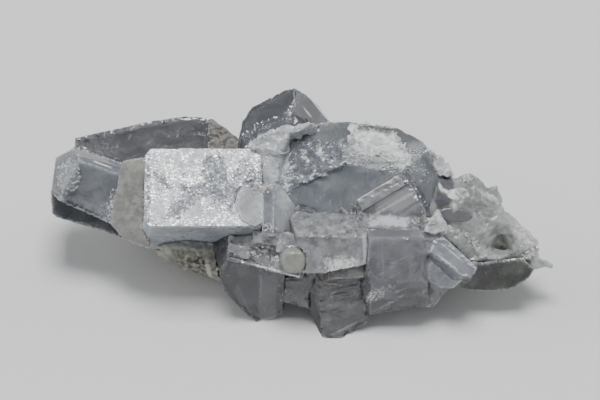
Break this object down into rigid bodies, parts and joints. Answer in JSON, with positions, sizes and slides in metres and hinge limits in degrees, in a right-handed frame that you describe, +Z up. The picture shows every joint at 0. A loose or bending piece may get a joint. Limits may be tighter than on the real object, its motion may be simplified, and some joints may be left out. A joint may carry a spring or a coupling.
{
  "type": "mineral specimen",
  "caption": "Long cluster of blocky pale grey-blue barite crystals with white and cream calcite, lying on its broad side; one frosted square crystal stands out at the left.",
  "frame": {"origin": "middle of the bounding box at table height, where the stone rests", "axes": "+X along the stone towards its thin pointed end, +Z up from the table, -Y is the side with the crystal feet, which the display side leans back from"},
  "size_m": [0.126, 0.0576, 0.0384],
  "materials": {
    "barite_back_block": "cloudy pale grey-blue barite, smooth to softly etched faces",
    "barite_back_point": "cloudy pale grey-blue barite, smooth to softly etched faces",
    "barite_back_stub": "cloudy pale grey-blue barite, smooth to softly etched faces",
    "barite_centre_block": "cloudy pale grey-blue barite, smooth to softly etched faces",
    "barite_frosted_block": "sugary frosting of tiny crystals over cloudy clear barite",
    "barite_left_block": "cloudy pale grey-blue barite, smooth to softly etched faces",
    "barite_left_plate": "clear grey barite, smooth faces",
    "barite_lens_plate": "clear grey barite, smooth faces",
    "barite_lower_centre_crystal": "cloudy pale grey-blue barite, smooth to softly etched faces",
    "barite_lower_left_crystal": "cloudy pale grey-blue barite, smooth to softly etched faces",
    "barite_lower_point": "clear grey barite, smooth faces",
    "barite_lower_right_block": "cloudy pale grey-blue barite, smooth to softly etched faces",
    "barite_lower_right_plate": "clear grey barite, smooth faces",
    "barite_main_crystal": "cloudy pale grey-blue barite, smooth to softly etched faces",
    "barite_peak_crystal": "cloudy pale grey-blue barite, smooth to softly etched faces",
    "barite_right_block": "cloudy pale grey-blue barite, smooth to softly etched faces",
    "barite_rod": "cloudy pale grey-blue barite, smooth to softly etched faces",
    "barite_small_prism": "cloudy pale grey-blue barite, smooth to softly etched faces",
    "barite_small_stub": "cloudy pale grey-blue barite, smooth to softly etched faces",
    "barite_upper_plate": "cloudy pale grey-blue barite, smooth to softly etched faces",
    "calcite_bead": "cream calcite, dull",
    "calcite_cloudy_filling": "white to grey granular calcite",
    "calcite_crust_patch": "white to grey granular calcite",
    "calcite_matrix": "rough granular calcite, brownish grey",
    "calcite_right_mass": "white to grey granular calcite",
    "calcite_shoulder_flake": "white to grey granular calcite",
    "calcite_shoulder_sliver": "white to grey granular calcite",
    "calcite_upper_cap": "cream calcite, dull",
    "calcite_wedge": "cream calcite, dull"
  },
  "bodies": {
    "root": {"barite_back_block": "barite_back_block", "barite_back_point": "barite_back_point", "barite_back_stub": "barite_back_stub", "barite_centre_block": "barite_centre_block", "barite_frosted_block": "barite_frosted_block", "barite_left_block": "barite_left_block", "barite_left_plate": "barite_left_plate", "barite_lens_plate": "barite_lens_plate", "barite_lower_centre_crystal": "barite_lower_centre_crystal", "barite_lower_left_crystal": "barite_lower_left_crystal", "barite_lower_point": "barite_lower_point", "barite_lower_right_block": "barite_lower_right_block", "barite_lower_right_plate": "barite_lower_right_plate", "barite_main_crystal": "barite_main_crystal", "barite_peak_crystal": "barite_peak_crystal", "barite_right_block": "barite_right_block", "barite_rod": "barite_rod", "barite_small_prism": "barite_small_prism", "barite_small_stub": "barite_small_stub", "barite_upper_plate": "barite_upper_plate", "calcite_bead": "calcite_bead", "calcite_cloudy_filling": "calcite_cloudy_filling", "calcite_crust_patch": "calcite_crust_patch", "calcite_matrix": "calcite_matrix", "calcite_right_mass": "calcite_right_mass", "calcite_shoulder_flake": "calcite_shoulder_flake", "calcite_shoulder_sliver": "calcite_shoulder_sliver", "calcite_upper_cap": "calcite_upper_cap", "calcite_wedge": "calcite_wedge"}
  },
  "joints": []
}
